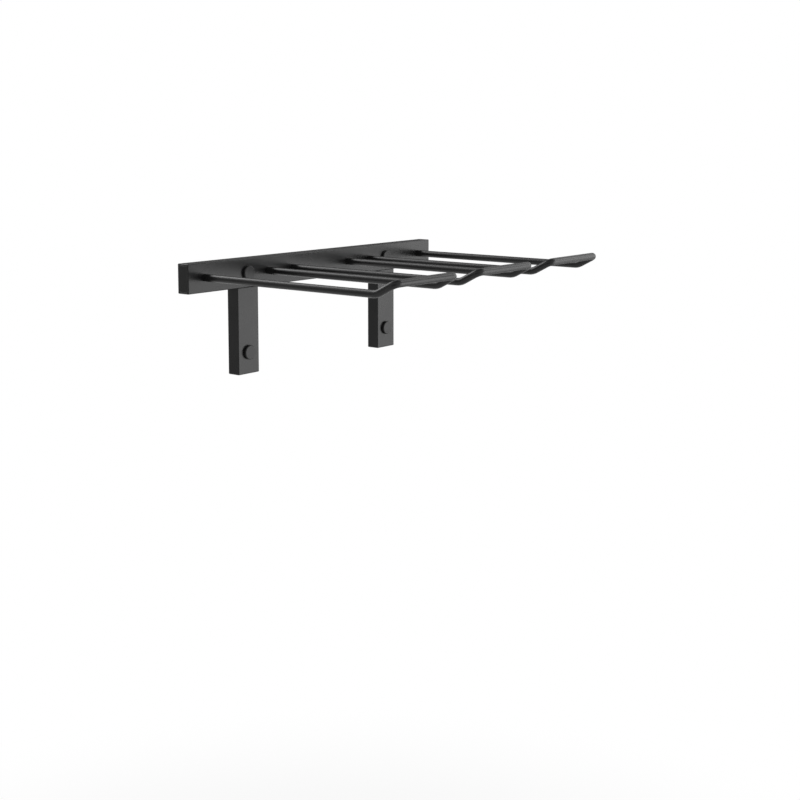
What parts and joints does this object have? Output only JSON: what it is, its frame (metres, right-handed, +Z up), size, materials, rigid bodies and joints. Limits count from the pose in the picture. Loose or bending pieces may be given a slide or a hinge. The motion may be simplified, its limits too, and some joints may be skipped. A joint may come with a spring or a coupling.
{
  "type": "hanging wine glass rack",
  "caption": "Wall rack of black steel tube and bent rod. Stemmed glasses slide in between its front loops and hang upside down by their feet, behind a raised lip.",
  "frame": {"origin": "on the wall's face, at the middle of the bar's length and of its height", "axes": "+X along the bar, +Y into the wall, +Z up; the loops stand out along -Y"},
  "size_m": [0.3302, 0.2202, 0.1016],
  "materials": {
    "tube_coat": "satin black powder coat on steel tube",
    "rod_coat": "satin black powder coat on bent steel rod",
    "plug_plastic": "fine matte black moulded plastic"
  },
  "bodies": {
    "root": {"wall_bar": "tube_coat", "bar_end_left": "tube_coat", "bar_end_right": "tube_coat", "leg_left": "tube_coat", "leg_right": "tube_coat", "leg_foot_left": "tube_coat", "leg_foot_right": "tube_coat", "rod_loop_left": "rod_coat", "rod_loop_centre": "rod_coat", "rod_loop_right": "rod_coat", "bar_plugs": "plug_plastic", "leg_plugs": "plug_plastic"}
  },
  "joints": []
}
